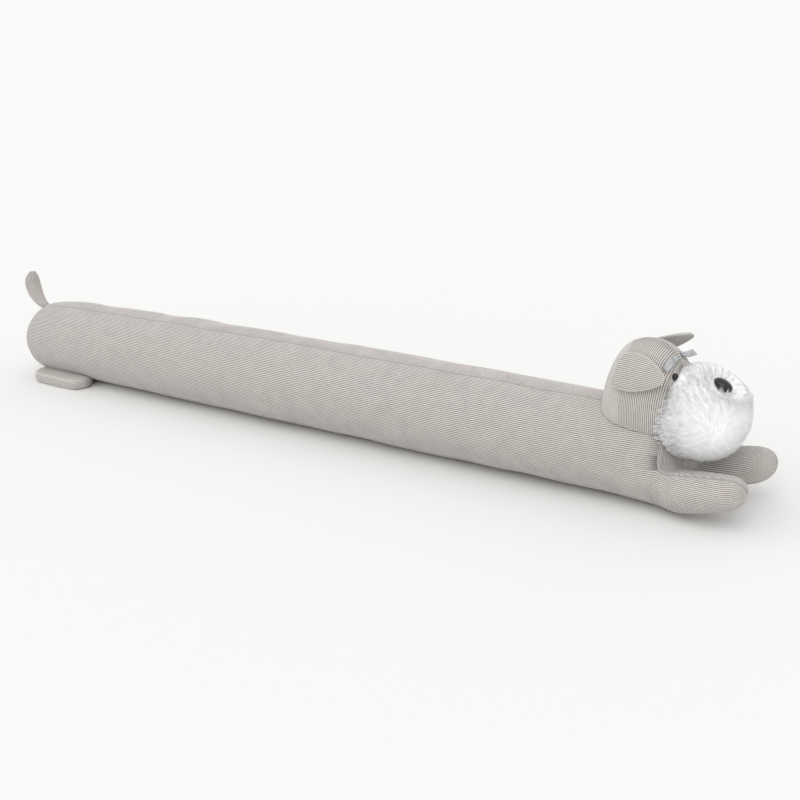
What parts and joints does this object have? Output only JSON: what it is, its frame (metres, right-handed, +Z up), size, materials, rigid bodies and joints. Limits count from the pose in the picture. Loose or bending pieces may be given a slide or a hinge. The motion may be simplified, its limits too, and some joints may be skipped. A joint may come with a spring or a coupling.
{
  "type": "dog draught excluder",
  "caption": "Long stuffed dog in grey ribbed cord with a white fur muzzle, laid along the foot of a door or window to stop draughts.",
  "frame": {"origin": "on the floor under the middle of the dog's length and width", "axes": "+X along the body towards the head, +Y to the dog's left, +Z up"},
  "size_m": [0.9846, 0.115, 0.1509],
  "materials": {
    "ribbed_cord": "fine ribbed cord, warm light grey, matt",
    "white_fur": "long soft white pile",
    "grey_felt": "matt blue-grey felt",
    "black_plastic": "glossy black"
  },
  "bodies": {
    "root": {"body": "ribbed_cord", "head": "ribbed_cord", "muzzle": "white_fur", "nose": "black_plastic", "eye_left": "black_plastic", "eye_right": "black_plastic", "brow_left": "grey_felt", "brow_right": "grey_felt", "ear_left": "ribbed_cord", "ear_right": "ribbed_cord", "tail": "ribbed_cord", "foot_left": "ribbed_cord", "foot_right": "ribbed_cord"}
  },
  "joints": []
}
